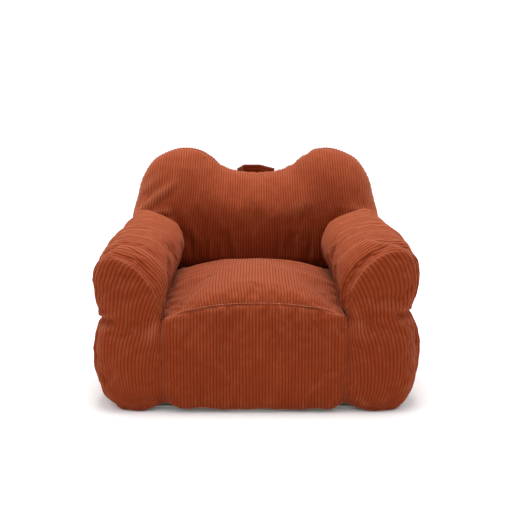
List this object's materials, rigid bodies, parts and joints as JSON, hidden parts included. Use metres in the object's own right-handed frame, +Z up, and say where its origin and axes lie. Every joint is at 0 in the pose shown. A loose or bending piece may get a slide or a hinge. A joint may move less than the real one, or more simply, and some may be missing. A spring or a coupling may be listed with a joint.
{
  "type": "bean bag chair",
  "caption": "Low armchair-shaped bean bag in wide-wale corduroy, with two stuffed arms, a seat, a back with two rounded lobes and a carry handle behind them.",
  "frame": {"origin": "on the floor under the middle of the chair", "axes": "+X across the seat, +Y towards the back, +Z up"},
  "size_m": [0.85, 0.784, 0.645],
  "materials": {
    "corduroy": "matte",
    "handle_corduroy": "matte",
    "base_lining": "matte",
    "liner_cloth": "matte",
    "foam_fill": "matte",
    "zip_tape": "matte",
    "zip_nylon": "satin",
    "zip_metal": "satin",
    "thread": "satin",
    "label_tape": "satin"
  },
  "bodies": {
    "root": {"seat_panel": "corduroy", "front_panel": "corduroy", "inside_back_panel": "corduroy", "outside_back_panel": "corduroy", "left_arm_panel": "corduroy", "right_arm_panel": "corduroy", "left_arm_front_panel": "corduroy", "right_arm_front_panel": "corduroy", "left_side_panel": "corduroy", "right_side_panel": "corduroy", "left_handle_end": "handle_corduroy", "right_handle_end": "handle_corduroy", "base_panel": "base_lining", "left_arm_partition": "base_lining", "right_arm_partition": "base_lining", "back_partition": "base_lining", "seat_liner": "liner_cloth", "back_liner": "liner_cloth", "left_arm_liner": "liner_cloth", "right_arm_liner": "liner_cloth", "seat_fill": "foam_fill", "back_fill": "foam_fill", "left_arm_fill": "foam_fill", "right_arm_fill": "foam_fill", "zip_tape_upper": "zip_tape", "zip_tape_lower": "zip_tape", "zip_coil_upper": "zip_nylon", "zip_coil_lower": "zip_nylon", "zip_stop_left": "zip_metal", "zip_stop_right": "zip_metal", "seat_front_stitch": "thread", "care_label": "label_tape"},
    "carry_handle": {"carry_handle": "handle_corduroy"},
    "zip_slider": {"zip_slider": "zip_metal"},
    "zip_pull_tab": {"zip_pull_tab": "zip_metal"}
  },
  "joints": [
    {"name": "handle_swing", "type": "hinge", "parent": "root", "child": "carry_handle", "pos_m": [0, 0.339, 0.565], "axis": [1, 0, 0], "range_deg": [-3, 65]},
    {"name": "zip_slide", "type": "slide", "parent": "root", "child": "zip_slider", "axis": [1, 0, 0], "range_m": [0, 0.568]},
    {"name": "pull_swing", "type": "hinge", "parent": "zip_slider", "child": "zip_pull_tab", "pos_m": [-0.284, 0.3892, 0.12], "axis": [0, 0, 1], "range_deg": [0, 180]}
  ]
}
